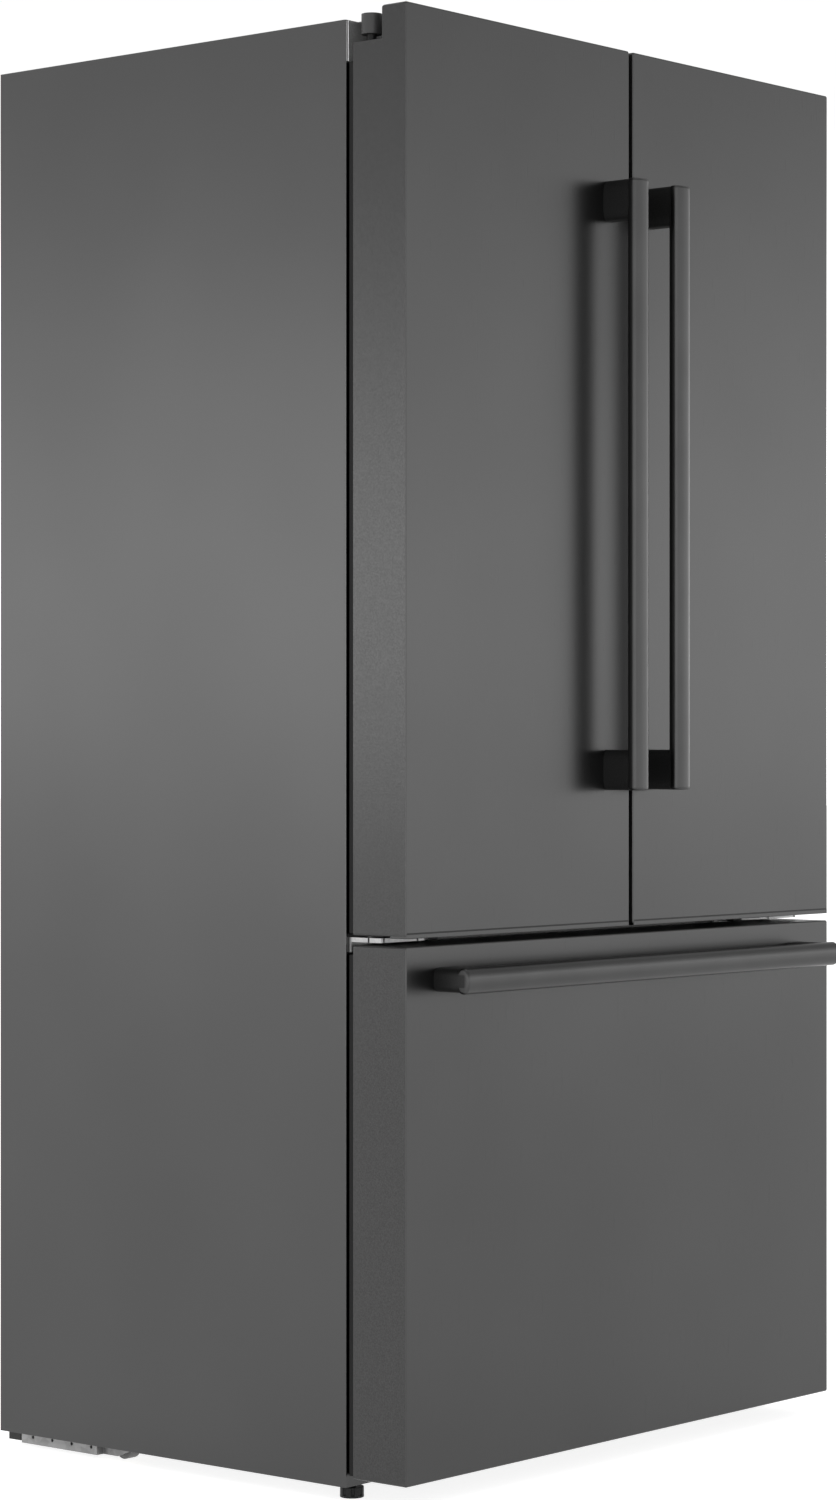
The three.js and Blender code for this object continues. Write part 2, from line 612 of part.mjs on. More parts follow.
function pinHoles() {
  return join(
    rod('z', NOTCH.z0 - TOP_HINGE.pinDepth - 2, HEIGHT, PIN_RADIUS + RUNNING, PIN_X, PIN_Y),
    rod('z', UPPER_DOOR_BOTTOM - PAST, MIDDLE_HINGE.top + 2, PIN_RADIUS + RUNNING, PIN_X, PIN_Y));
}

function slice(y0, y1) {
  return box(-SIDE - PAST, SIDE + PAST, y0, y1, 0, HEIGHT + PAST);
}

const LINER_FACE = DOOR_REAR - 2.1; // the foam side of a door's inner plate

function panelSkin(body) {
  return cut(body(0), body(SKIN)).intersect(slice(DOOR_FACE - 1, DOOR_REAR));
}

function panelCore(body) {
  return body(SKIN + GAP).intersect(slice(DOOR_FACE, LINER_FACE - GAP));
}

function panelBackPlate(body) {
  return body(SKIN + GAP).intersect(slice(LINER_FACE, DOOR_REAR));
}

// A flexible seal ring on the back of a panel, with a groove round its outside.
function seal(x0, x1, z0, z1) {
  const [y0, y1] = [DOOR_REAR + GAP, CASE_FRONT - GAP];
  const { width, groove, grooveY, grooveWidth } = SEAL;
  const ring = cut(box(x0, x1, y0, y1, z0, z1),
    box(x0 + width, x1 - width, y0 - 1, y1 + 1, z0 + width, z1 - width));
  const fold = cut(box(x0 - 1, x1 + 1, y0 + grooveY, y0 + grooveY + grooveWidth, z0 - 1, z1 + 1),
    box(x0 + groove, x1 - groove, y0, y1, z0 + groove, z1 - groove));
  return cut(ring, fold);
}

const OVAL_POWER = 0.82; // below 1, an oval is a little squarer than an ellipse

function oval(width, height, steps) {
  const outline = new THREE.Shape();
  for (let i = 0; i < steps; i++) {
    const turn = (i / steps) * 2 * Math.PI;
    const [c, s] = [Math.cos(turn), Math.sin(turn)];
    const x = (width / 2) * Math.sign(c) * Math.abs(c) ** OVAL_POWER;
    const y = (height / 2) * Math.sign(s) * Math.abs(s) ** OVAL_POWER;
    if (i === 0) outline.moveTo(x, y);
    else outline.lineTo(x, y);
  }
  outline.closePath();
  return outline;
}

// A pull handle standing upright at x = 0: an oval bar on two oval posts.
function handle(length) {
  const bevel = BAR.endBevel;
  const bar = new THREE.ExtrudeGeometry(oval(BAR.width, BAR.depth, 24), {
    depth: length - 2 * bevel, bevelEnabled: true, bevelThickness: bevel, bevelSize: bevel,
    bevelOffset: -bevel, bevelSegments: 1,
  });
  bar.translate(0, DOOR_FACE - HANDLE_REACH + BAR.depth / 2, bevel);
  let piece = solid(bar);
  for (const z of [BAR.post / 2, length - BAR.post / 2]) {
    const post = new THREE.ExtrudeGeometry(oval(BAR.width - 2, BAR.post - 1, 20), {
      depth: HANDLE_REACH - BAR.depth / 2 - GAP, bevelEnabled: false,
    });
    post.rotateX(Math.PI / 2).translate(0, DOOR_FACE - GAP, z);
    piece = join(piece, solid(post));
  }
  return piece;
}

// ---- right-hand fresh-food door; the left one mirrors it ----
const SPLIT = SPLIT_GAP / 2;

function doorBody(inset) {
  const body = panelBody(SPLIT, SIDE, UPPER_DOOR_BOTTOM, HEIGHT, inset);
  return cut(body, hingeNotch(inset));
}

function doorLiner() {
  const { hinge, split, wall, depth, z0, z1 } = DYKE;
  const ring = cut(box(split, hinge, LINER_FACE, DOOR_REAR + depth, z0, z1),
    box(split + wall, hinge - wall, DOOR_REAR, DOOR_REAR + depth + 1, z0 + wall, z1 - wall));
  return cut(join(panelBackPlate(doorBody), ring), pinHoles());
}

function doorBin(level) {
  const side = GAP + DYKE.wall;
  const y0 = DOOR_REAR + GAP;
  return tub(DYKE.split + side, DYKE.hinge - side, y0, y0 + BIN.depth, level, level + BIN.height, BIN.wall);
}

function doorSeal() {
  return seal(SEAL.splitInset, SIDE - SEAL.hingeInset, UPPER_DOOR_BOTTOM + 10, NOTCH.z0 - 4);
}

// ---- folding centre mullion, on the left door, shown folded back ----
const MULLION_Y = CASE_FRONT + 0.5 + MULLION.thick / 2;
const MULLION_PIN = { radius: 4, hole: 4.1, depth: 10, clear: 0.8, lug: 6, back: 15, ahead: 7 };

function mullion() {
  const { x, thick, width, z0, z1 } = MULLION;
  const { hole, depth } = MULLION_PIN;
  const r = thick / 2;
  const plan = new THREE.Shape();
  plan.moveTo(x + r, MULLION_Y);
  plan.lineTo(x + r, MULLION_Y - r + width);
  plan.lineTo(x - r, MULLION_Y - r + width);
  plan.lineTo(x - r, MULLION_Y);
  plan.absarc(x, MULLION_Y, r, Math.PI, 2 * Math.PI, false);
  const bar = column(plan, z0, z1, 8);
  return cut(bar, rod('z', z0 - 1, z0 + depth + 2, hole, x, MULLION_Y, 16),
    rod('z', z1 - depth - 2, z1 + 1, hole, x, MULLION_Y, 16));
}

// A lug on the door's inner plate, reaching over or under the mullion, with its pin.
function mullionLug(z0, z1, pinFrom, pinTo) {
  const { x } = MULLION;
  const { radius, back, ahead } = MULLION_PIN;
  const root = box(x - back, x + 1, LINER_FACE + 1, CASE_FRONT + 1, z0, z1);
  const tongue = box(x - back, x + ahead, CASE_FRONT + 0.5, MULLION_Y + 8, z0, z1);
  return join(root, tongue, rod('z', pinFrom, pinTo, radius, x, MULLION_Y, 16));
}

function leftDoorLiner() {
  const { z0, z1 } = MULLION;
  const { clear, lug, depth } = MULLION_PIN;
  return join(mirror(doorLiner()), mullionLug(z1 + clear, z1 + lug, z1 - depth, z1 + lug / 2),
    mullionLug(z0 - lug, z0 - clear, z0 - lug / 2, z0 + depth));
}

// ---- freezer drawer ----
function drawerBody(inset) {
  return panelBody(-SIDE, SIDE, DRAWER_BOTTOM, DRAWER_TOP, inset);
}

const DRAWER_RIB = { side: CAVITY_SIDE - 22, proud: 12, z0: 470, z1: 478 };

function drawerLiner() {
  const { side, proud, z0, z1 } = DRAWER_RIB;
  return join(panelBackPlate(drawerBody), box(-side, side, LINER_FACE, DOOR_REAR + proud, z0, z1));
}

const SLIDE = { outer: [400, 404.6], middle: [394.6, 399.4], inner: [388.6, 394], web: 1.6, lip: 3 };

// One member of a telescopic slide: a channel open towards the basket.
function slideMember([x0, x1], height, y0, y1) {
  const [z0, z1] = [RAIL.z - height / 2, RAIL.z + height / 2];
  return cut(box(x0, x1, y0, y1, z0, z1),
    box(x0 - 1, x1 - SLIDE.web, y0 - 1, y1 + 1, z0 + SLIDE.lip, z1 - SLIDE.lip));
}

const BASKET = { side: 368, y0: -232, y1: 84, z0: 96, z1: 438, wall: 3, rim: 14, rimThick: 3 };
const CARRIER = { rear: 205, lipRear: 100, lipZ0: 434, lipThick: 3.5, frontZ1: 456, frontDepth: 3 };

function drawerCarrier() {
  const [x0, x1] = SLIDE.inner;
  const { rear, lipRear, lipZ0, lipThick, frontZ1, frontDepth } = CARRIER;
  const y0 = DOOR_REAR + GAP;
  const member = slideMember(SLIDE.inner, RAIL.inner, y0, rear);
  const lip = box(BASKET.side + BASKET.wall, x1 - SLIDE.web, y0, lipRear, lipZ0, lipZ0 + lipThick);
  const front = box(-x0 - 2, x0 + 2, y0, DOOR_REAR + frontDepth, lipZ0, frontZ1);
  return join(front, member, lip, mirror(member), mirror(lip));
}

function basket() {
  const { side, y0, y1, z0, z1, wall, rim, rimThick } = BASKET;
  const top = cut(box(-side - rim, side + rim, y0, y1 + 6, z1, z1 + rimThick),
    box(-side + wall, side - wall, y0 + wall, y1 - wall, z1 - PAST, z1 + 2 * PAST));
  return join(tub(-side, side, y0, y1, z0, z1, wall), top);
}

const TRAY = { side: CAVITY_SIDE - 5, y0: -200, y1: 232, z0: 485, z1: 600, wall: 3 };

function freezerTray() {
  const { side, y0, y1, z0, z1, wall } = TRAY;
  return tub(-side, side, y0, y1, z0, z1, wall);
}

function drawerSeal() {
  const side = SIDE - SEAL.hingeInset;
  return seal(-side, side, DRAWER_BOTTOM + 14, DRAWER_TOP - 15);
}

function drawerHandle() {
  const length = WIDTH - 2 * DRAWER_BAR.inset;
  return handle(length).rotate([0, 90, 0]).translate([-length / 2, 0, DRAWER_BAR.z]);
}

// ---- assembly ----
place('outer_case', outerCase(), STEEL);
place('rear_panel', rearPanel(), ZINC);
place('insulation', insulation(), FOAM);
place('fresh_food_liner', linerShell(freshSpace), WHITE);
place('freezer_liner', freezerLiner(), WHITE);
place('compressor_base', compressorBase(), ZINC);
place('compressor', compressor(), BLACK);
place('condenser', coil(CONDENSER), ALUMINIUM);
place('fan_bracket', fanBracket(), ZINC);
place('condenser_fan', condenserFan(), BLACK);
place('drain_pan', drainPan(), BLACK);
place('machine_cover', machineCover(), ZINC);
place('power_inlet', powerInlet(), BLACK);
place('evaporator', coil(EVAPORATOR), ALUMINIUM);
place('evaporator_cover', evaporatorCover(), WHITE);
place('evaporator_fan', coldFan(), WHITE);
place('air_tower', airTower(), WHITE);
place('control_panel', controlPanel(), WHITE);
place('shelf_upper_left', shelf(-CAVITY_SIDE + 0.5, -4, SHELF.split), CLEAR);
place('shelf_upper_right', shelf(4, CAVITY_SIDE - 0.5, SHELF.split), CLEAR);
place('shelf_lower', shelf(-CAVITY_SIDE + 0.5, CAVITY_SIDE - 0.5, SHELF.full), CLEAR);
place('crisper_frame', crisperFrame(), WHITE);
placePair('crisper', crisper(), CLEAR);
placePair('top_hinge', topHinge(), BLACK);
placePair('middle_hinge', middleHinge(), ZINC);
placePair('front_foot', foot(), BLACK);
placePair('rear_roller', roller(), BLACK);
placePair('outer_rail', slideMember(SLIDE.outer, RAIL.outer, RAIL.y0, RAIL.y1), ZINC);
placePair('middle_rail', slideMember(SLIDE.middle, RAIL.middle, RAIL.y0, RAIL.y1), ZINC);

placePair('door_skin', cut(panelSkin(doorBody), pinHoles()), STEEL);
placePair('door_core', cut(panelCore(doorBody), pinHoles()), FOAM);
place('door_liner_right', doorLiner(), WHITE);
place('door_liner_left', leftDoorLiner(), WHITE);
placePair('door_seal', doorSeal(), BLACK);
placePair('door_handle', handle(DOOR_BAR.z1 - DOOR_BAR.z0).translate([DOOR_BAR.x, 0, DOOR_BAR.z0]), GRAIN);
placePair('door_bin_lower', doorBin(BIN_LEVELS[0]), CLEAR);
placePair('door_bin_upper', doorBin(BIN_LEVELS[1]), CLEAR);
place('centre_mullion', mullion(), GRAIN);

place('drawer_skin', panelSkin(drawerBody), STEEL);
place('drawer_core', panelCore(drawerBody), FOAM);
place('drawer_liner', drawerLiner(), WHITE);
place('drawer_seal', drawerSeal(), BLACK);
place('drawer_handle', drawerHandle(), GRAIN);
place('drawer_carrier', drawerCarrier(), ZINC);
place('freezer_basket', basket(), WHITE);
place('freezer_tray', freezerTray(), CLEAR);

export default refrigerator;
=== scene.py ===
# French door refrigerator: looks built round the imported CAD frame. Metres, +Z up, front towards -Y.
import json
import math

import bmesh
import bpy
from mathutils import Matrix, Vector


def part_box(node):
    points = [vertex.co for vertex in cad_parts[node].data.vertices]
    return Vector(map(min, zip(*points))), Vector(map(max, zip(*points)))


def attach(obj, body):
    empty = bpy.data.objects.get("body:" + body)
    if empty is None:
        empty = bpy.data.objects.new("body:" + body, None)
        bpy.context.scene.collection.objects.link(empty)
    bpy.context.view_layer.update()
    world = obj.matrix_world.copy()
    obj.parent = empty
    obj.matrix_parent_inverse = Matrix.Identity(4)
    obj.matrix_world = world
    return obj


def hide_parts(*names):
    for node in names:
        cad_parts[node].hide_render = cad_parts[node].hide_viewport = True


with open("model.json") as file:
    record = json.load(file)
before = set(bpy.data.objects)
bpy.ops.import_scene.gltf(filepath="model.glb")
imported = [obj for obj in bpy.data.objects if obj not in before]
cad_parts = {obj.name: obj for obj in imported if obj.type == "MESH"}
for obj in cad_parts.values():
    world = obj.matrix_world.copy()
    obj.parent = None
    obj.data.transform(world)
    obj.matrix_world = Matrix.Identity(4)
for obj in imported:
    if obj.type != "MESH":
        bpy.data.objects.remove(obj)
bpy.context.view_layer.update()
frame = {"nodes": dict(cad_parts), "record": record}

scene = bpy.context.scene
MM = 0.001
UP = (0, 0, 1)
FORWARD = (0, -1, 0)
BACKWARD = (0, 1, 0)
SIDES = (("left", -1), ("right", 1))
CAMERA_LENS = 92.0
CAMERA_YAW = math.radians(-49.85)
CAMERA_SHIFT = -0.0084
CAMERA_FROM_EDGE = Vector((-3.5335, -3.0, 0.938))

# ---- handles: bars with rounded ends on two posts each ----
BAR_DEPTH = 20 * MM
BAR_ROUND = 3.6 * MM
BAR_INSET = 0.3 * MM
BAR_POWER = 0.82       # 1 makes an ellipse, and less makes a squarer oval
BAR_STEPS = 72
POST_LONG = 52 * MM
POST_NARROW = 1.8 * MM
POST_SHORT = 6.5 * MM  # from a post's end to the front of the bar
POST_CLEAR = 0.2 * MM
POST_POWER = 0.45
POST_STEPS = 96

# ---- how far the edges of carried-over pieces are rounded ----
MOULDED_EDGE = 1.2 * MM
BIN_EDGE = 1.1 * MM
HINGE_EDGE = 0.6 * MM
SEAL_EDGE = 0.6 * MM
SMALL_EDGE = 0.5 * MM
SHEET_EDGE = 0.4 * MM

# ---- other sizes, in millimetres ----
HINGE_SCREW_X = (362, 392)
HINGE_ARM_DROP = 22
BRACKET_PLATE_RISE = 18.6
# depth of the base's rear tail, which is painted dark as shade
BASE_SHADED_TAIL = 26
PANEL_BORDER = 28
PANEL_INSIDE = 0.9
PANEL_BEADS = 8
COVER_RECESS = 0.45
LOUVRE_X = (-280, -120, 200)
LOUVRE_Z = [78 + 22 * k for k in range(7)]
LOUVRE_HALF = 61
BASKET_RIBS = 9
SHELVES = ("shelf_upper_left", "shelf_upper_right", "shelf_lower")

# Brightness of the studio round the object, by elevation in degrees: a soft band at the horizon.
STUDIO_BAND = ((-90, 0.30), (-3, 0.80), (0.5, 1.75), (3.6, 1.80), (6, 1.05), (9, 0.58), (13, 0.58),
               (20, 0.40), (90, 0.42))
STUDIO_STRENGTH = 1.75


# ---- places worked out from the frame ----
def span_mm(node):
    """A node's box in millimetres, as (x0, x1, y0, y1, z0, z1)."""
    low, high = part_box(node)
    return tuple(c / MM for pair in zip(low, high) for c in pair)


CASE_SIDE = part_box("outer_case")[1].x
DOOR_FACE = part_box("door_skin_right")[0].y
HANDLE_LOW, HANDLE_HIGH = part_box("door_handle_right")
_, _, CASE_FRONT_MM, _, _, CASE_TOP_MM = span_mm("outer_case")
DOOR_INNER_MM, _, DOOR_FACE_MM, DOOR_REAR_MM, DOOR_LOW_MM, _ = span_mm("door_skin_right")


# ---- node helpers ----
class Nodes:
    """A material's node tree with short calls for the nodes used here."""

    def __init__(self, name):
        self.material = bpy.data.materials.new(name)
        self.material.use_nodes = True
        self.tree = self.material.node_tree
        self.shader = self.tree.nodes["Principled BSDF"]
        self.place = self.tree.nodes.new("ShaderNodeTexCoord").outputs["Object"]

    def set(self, **sockets):
        for key, value in sockets.items():
            self.shader.inputs[key.replace("_", " ")].default_value = value
        return self

    def link(self, source, target):
        self.tree.links.new(source, target)

    def stretched(self, scale):
        node = self.tree.nodes.new("ShaderNodeMapping")
        node.inputs["Scale"].default_value = scale
        self.link(self.place, node.inputs["Vector"])
        return node.outputs["Vector"]

    def noise(self, scale, detail=2.0, stretch=(1, 1, 1)):
        node = self.tree.nodes.new("ShaderNodeTexNoise")
        node.inputs["Scale"].default_value = scale
        node.inputs["Detail"].default_value = detail
        self.link(self.stretched(stretch), node.inputs["Vector"])
        return node.outputs["Fac"]

    def cells(self, scale, output="Color"):
        node = self.tree.nodes.new("ShaderNodeTexVoronoi")
        node.inputs["Scale"].default_value = scale
        self.link(self.place, node.inputs["Vector"])
        return node.outputs[output]

    def span(self, value, low, high):
        node = self.tree.nodes.new("ShaderNodeMapRange")
        node.inputs["To Min"].default_value = low
        node.inputs["To Max"].default_value = high
        self.link(value, node.inputs["Value"])
        return node.outputs["Result"]

    def ramp(self, value, dark, light, start=0.3, stop=0.7):
        node = self.tree.nodes.new("ShaderNodeValToRGB")
        node.color_ramp.elements[0].position = start
        node.color_ramp.elements[1].position = stop
        node.color_ramp.elements[0].color = (*dark, 1)
        node.color_ramp.elements[1].color = (*light, 1)
        self.link(value, node.inputs["Fac"])
        return node.outputs["Color"]

    def painted_edge_highlight(self, colour, light, amount):
        """Lightens the colour along convex edges: a painted highlight on the edges."""
        edge = self.tree.nodes.new("ShaderNodeNewGeometry").outputs["Pointiness"]
        edge_highlight_mask = self.tree.nodes.new("ShaderNodeMapRange")
        edge_highlight_mask.inputs["From Min"].default_value = 0.52
        edge_highlight_mask.inputs["From Max"].default_value = 0.62
        edge_highlight_mask.inputs["To Max"].default_value = amount
        self.link(edge, edge_highlight_mask.inputs["Value"])
        mix = self.tree.nodes.new("ShaderNodeMix")
        mix.data_type = "RGBA"
        self.link(edge_highlight_mask.outputs["Result"], mix.inputs["Factor"])
        self.link(colour, mix.inputs["A"])
        mix.inputs["B"].default_value = (*light, 1)
        return mix.outputs["Result"]

    def base(self, colour):
        self.link(colour, self.shader.inputs["Base Color"])
        return self

    def rough(self, value):
        self.link(value, self.shader.inputs["Roughness"])
        return self

    def bump(self, height, strength, distance=0.0002):
        node = self.tree.nodes.new("ShaderNodeBump")
        node.inputs["Strength"].default_value = strength
        node.inputs["Distance"].default_value = distance
        self.link(height, node.inputs["Height"])
        self.link(node.outputs["Normal"], self.shader.inputs["Normal"])
        return self


def grey(value):
    return (value, value, value)


# ---- materials ----
def brushed_steel():
    n = Nodes("dark_stainless").set(Metallic=1.0)
    brush = n.noise(900, 3, (1, 1, 0.012))
    n.base(n.ramp(n.noise(3.5, 2), grey(0.0588), grey(0.0632)))
    n.rough(n.span(brush, 0.265, 0.295))
    return n.bump(brush, 0.015, 0.00004).material


def painted_steel():
    n = Nodes("cabinet_side").set(Metallic=1.0)
    peel = n.noise(420, 2)
    n.base(n.ramp(n.noise(3.0, 2), grey(0.0705), grey(0.0765)))
    n.rough(n.span(peel, 0.20, 0.25))
    return n.bump(peel, 0.06, 0.00005).material


def bar_metal():
    n = Nodes("handle_metal").set(Metallic=1.0)
    brush = n.noise(700, 2, (1, 1, 0.02))
    # The lighter convex edges of the bar are a painted highlight.
    n.base(n.painted_edge_highlight(n.ramp(n.noise(14, 2), grey(0.052), grey(0.058)), grey(0.09), 0.4))
    n.rough(n.span(brush, 0.27, 0.36))
    return n.bump(brush, 0.04, 0.00004).material


def grained(name, scale, tones, rough, bump, edge_highlight_tone=None, detail=2, distance=0.0001, **sockets):
    """A grey finish with one fine grain in its tone, its roughness and its surface."""
    n = Nodes(name).set(**sockets)
    grain = n.noise(scale, detail)
    colour = n.ramp(grain, *map(grey, tones))
    # Where a tone is given, convex edges are lightened as a painted highlight.
    n.base(n.painted_edge_highlight(colour, grey(edge_highlight_tone), 0.4) if edge_highlight_tone else colour)
    n.rough(n.span(grain, *rough))
    return n.bump(grain, bump, distance).material


def zinc(name, crystals, film, pits, dark, light, rough, bump, painted_edge_highlight=None, metallic=0.9):
    """Galvanised sheet: crystals of slightly different tones under a dull film."""
    n = Nodes(name).set(Metallic=metallic)
    colour = n.ramp(n.cells(crystals), dark, light)
    # Where given, convex edges are lightened as a painted highlight.
    n.base(n.painted_edge_highlight(colour, *painted_edge_highlight) if painted_edge_highlight else colour)
    n.rough(n.span(n.noise(film, 3), *rough))
    return n.bump(n.noise(pits, 2), bump, 0.0001).material


def bare_metal(name, blotch, film, pits, dark, light, rough, bump, detail=3):
    n = Nodes(name).set(Metallic=1.0)
    n.base(n.ramp(n.noise(blotch, detail), dark, light))
    n.rough(n.span(n.noise(film, 2), *rough))
    return n.bump(n.noise(pits, 2), bump, 0.0001).material


def rigid_foam():
    n = Nodes("rigid_foam").set(Roughness=0.9)
    cells = n.cells(450, "Distance")
    n.base(n.ramp(cells, (0.60, 0.50, 0.27), (0.78, 0.69, 0.44)))
    return n.bump(cells, 0.6, 0.0006).material


def white_plastic(name, rough, scale):
    n = Nodes(name).set(Specular_IOR_Level=0.45)
    texture = n.noise(scale, 2)
    n.base(n.ramp(n.noise(5, 2), (0.74, 0.755, 0.76), (0.80, 0.81, 0.81)))
    n.rough(n.span(texture, *rough))
    return n.bump(texture, 0.08, 0.0001).material


def clear_plastic():
    n = Nodes("clear_moulding").set(Alpha=0.32, Specular_IOR_Level=0.6)
    swirl = n.noise(40, 3)
    n.base(n.ramp(swirl, (0.81, 0.875, 0.905), (0.85, 0.905, 0.93)))
    n.rough(n.span(swirl, 0.06, 0.11))
    return n.bump(swirl, 0.02, 0.0003).material


def shelf_glass():
    n = Nodes("shelf_glass").set(Alpha=0.26, Specular_IOR_Level=0.7)
    n.base(n.ramp(n.noise(6, 2), (0.55, 0.74, 0.68), (0.66, 0.82, 0.77)))
    n.rough(n.span(n.noise(30, 2), 0.02, 0.05))
    return n.bump(n.noise(9, 1), 0.02, 0.0002).material


def enamel_black():
    n = Nodes("black_enamel").set(Coat_Weight=0.4)
    peel = n.noise(350, 2)
    n.base(n.ramp(n.noise(8, 2), grey(0.010), grey(0.018)))
    n.rough(n.span(peel, 0.22, 0.34))
    return n.bump(peel, 0.12, 0.0002).material


def lamp_lens():
    n = Nodes("lamp_lens").set(Emission_Color=(1.0, 0.97, 0.92, 1), Emission_Strength=1.6)
    ribs = n.noise(260, 1, (1, 0.05, 1))
    n.base(n.ramp(ribs, (0.86, 0.86, 0.84), (0.96, 0.96, 0.94)))
    n.rough(n.span(ribs, 0.25, 0.4))
    return n.bump(ribs, 0.2, 0.0003).material


LOOK = {
    "front": brushed_steel(),
    "side": painted_steel(),
    "grain": grained("grained_door_edge", 520, (0.044, 0.062), (0.19, 0.13), 0.16, detail=3,
                     distance=0.00015, Metallic=0.85),
    "bar": bar_metal(),
    "post": grained("handle_post", 500, (0.030, 0.040), (0.40, 0.50), 0.1, Metallic=0.9),
    "zinc": zinc("zinc_sheet", 170, 160, 300, (0.300, 0.305, 0.312), (0.328, 0.332, 0.338),
                 (0.36, 0.50), 0.08),
    # The base and bracket zinc get lighter convex edges: a painted highlight.
    "base": zinc("dulled_zinc", 90, 140, 300, grey(0.17), grey(0.22), (0.40, 0.52), 0.1,
                 (grey(0.34), 0.4), 0.8),
    "bracket": zinc("bracket_zinc", 200, 200, 400, grey(0.31), grey(0.37), (0.34, 0.44), 0.05,
                    (grey(0.48), 0.3)),
    # Light grey tone of the corner plates: painted light in the shaded hinge notch, on a real plate.
    "corner": grained("corner_plate_painted_light", 500, (0.24, 0.30), (0.40, 0.50), 0.06, Metallic=0.6),
    "trim": grained("panel_trim", 700, (0.019, 0.026), (0.35, 0.45), 0.1, Specular_IOR_Level=0.3),
    "roller": grained("roller_plastic", 600, (0.085, 0.120), (0.45, 0.60), 0.15),
    "powder": grained("black_powder_coat", 1200, (0.020, 0.034), (0.42, 0.55), 0.25, 0.09, Metallic=0.3),
    "foam": rigid_foam(),
    "liner": white_plastic("white_liner", (0.28, 0.36), 180),
    "moulding": white_plastic("white_moulding", (0.40, 0.50), 700),
    "black": grained("black_moulding", 900, (0.006, 0.011), (0.38, 0.52), 0.2, Specular_IOR_Level=0.2),
    "rubber": grained("seal_rubber", 600, (0.0115, 0.017), (0.55, 0.70), 0.15, Specular_IOR_Level=0.08),
    "clear": clear_plastic(),
    "glass": shelf_glass(),
    "fins": bare_metal("fin_aluminium", 60, 260, 500, (0.52, 0.53, 0.54), (0.68, 0.69, 0.70),
                       (0.28, 0.45), 0.1),
    "copper": bare_metal("copper_tube", 45, 200, 350, (0.46, 0.20, 0.11), (0.66, 0.33, 0.20),
                         (0.28, 0.42), 0.06),
    "enamel": enamel_black(),
    "bright": bare_metal("bright_screw", 400, 900, 1500, grey(0.50), grey(0.66), (0.25, 0.38), 0.05, 2),
    "lamp": lamp_lens(),
}
SLOT_LOOK = {
    "dark_steel": "front", "dark_bar": "bar", "zinc_steel": "zinc", "hinge_black": "powder",
    "foam": "foam", "white_liner": "liner", "white_moulding": "moulding", "compressor_black": "enamel",
    "coil_aluminium": "fins", "black_plastic": "black", "roller_plastic": "roller",
    "shelf_glass": "glass", "clear_plastic": "clear", "seal_rubber": "rubber", "mullion_grey": "black",
}
NODE_SLOT = {s["node"]: s["material_slot"] for s in frame["record"]["subparts"]}
NODE_BODY = {n: b for b, names in frame["record"]["behaviour"]["bodies"].items() for n in names}


# ---- mesh helpers ----
def finish_piece(piece, body, look, slot=None, replaces=()):
    """Gives a piece its body and its material, and hides the CAD nodes that it stands for; the slot is not
    used.
    """
    if look and not piece.data.materials:
        piece.data.materials.append(LOOK[look])
    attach(piece, body)
    if replaces:
        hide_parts(*replaces)
    return piece


def mesh_object(name, bm, smooth=35):
    mesh = bpy.data.meshes.new(name)
    bmesh.ops.recalc_face_normals(bm, faces=bm.faces)
    bm.to_mesh(mesh)
    bm.free()
    mesh.polygons.foreach_set("use_smooth", [True] * len(mesh.polygons))
    mesh.set_sharp_from_angle(angle=math.radians(smooth))
    piece = bpy.data.objects.new(name, mesh)
    scene.collection.objects.link(piece)
    return piece


def soften(piece, width, segments=2, angle=30):
    bevel = piece.modifiers.new("edges", "BEVEL")
    bevel.width = width
    bevel.segments = segments
    bevel.limit_method = "ANGLE"
    bevel.angle_limit = math.radians(angle)
    bevel.harden_normals = True
    return flat_faces(piece)


def flat_faces(piece):
    """Keeps broad faces shading flat right up to their rounded edges."""
    piece.modifiers.new("normals", "WEIGHTED_NORMAL").keep_sharp = True
    return piece


def refined(node, width, segments=2, look=None, faces=()):
    """A copy of a CAD node with clean faces and rounded edges, which replaces the node.

    Faces holds (look, test) pairs; a face takes the first look whose test it passes."""
    bm = bmesh.new()
    bm.from_mesh(frame["nodes"][node].data)
    bmesh.ops.remove_doubles(bm, verts=bm.verts, dist=1e-6)
    bmesh.ops.dissolve_limit(bm, angle_limit=math.radians(0.6), verts=bm.verts, edges=bm.edges)
    piece = mesh_object(f"{node}_fine", bm)
    for name in (look or SLOT_LOOK[NODE_SLOT[node]], *(name for name, _ in faces)):
        piece.data.materials.append(LOOK[name])
    for polygon in piece.data.polygons:
        passed = [k + 1 for k, (_, test) in enumerate(faces) if test(polygon)]
        polygon.material_index = passed[0] if passed else 0
    if width:
        soften(piece, width, segments)
    else:
        flat_faces(piece)
    return finish_piece(piece, NODE_BODY[node], None, NODE_SLOT[node], (node,))


def circle(steps):
    """The (cosine, sine) pairs of evenly spaced points round a circle."""
    turns = [2 * math.pi * i / steps for i in range(steps)]
    return [(math.cos(t), math.sin(t)) for t in turns]


def oval_ring(width, height, steps, power):
    """Points round an oval, which is squarer as the power gets smaller."""
    def reach(size, value):
        return size / 2 * math.copysign(abs(value) ** power, value)
    return [(reach(width, c), reach(height, s)) for c, s in circle(steps)]


def loft(name, rings):
    """A closed skin through rings of points of equal count, with flat ends."""
    bm = bmesh.new()
    rows = [[bm.verts.new(p) for p in ring] for ring in rings]
    count = len(rows[0])
    for a, b in zip(rows, rows[1:]):
        for i in range(count):
            j = (i + 1) % count
            bm.faces.new((a[i], a[j], b[j], b[i]))
    bm.faces.new(rows[0])
    bm.faces.new(rows[-1])
    return flat_faces(mesh_object(name, bm))


def rounded_ends(start, stop, radius, steps=5):
    """(position, inset) pairs along a bar with rounded ends."""
    turns = [i / steps * math.pi / 2 for i in range(steps, -1, -1)]
    near = [(start + radius * (1 - math.sin(t)), radius * (1 - math.cos(t))) for t in turns]
    return near + [(stop - (p - start), inset) for p, inset in reversed(near)]


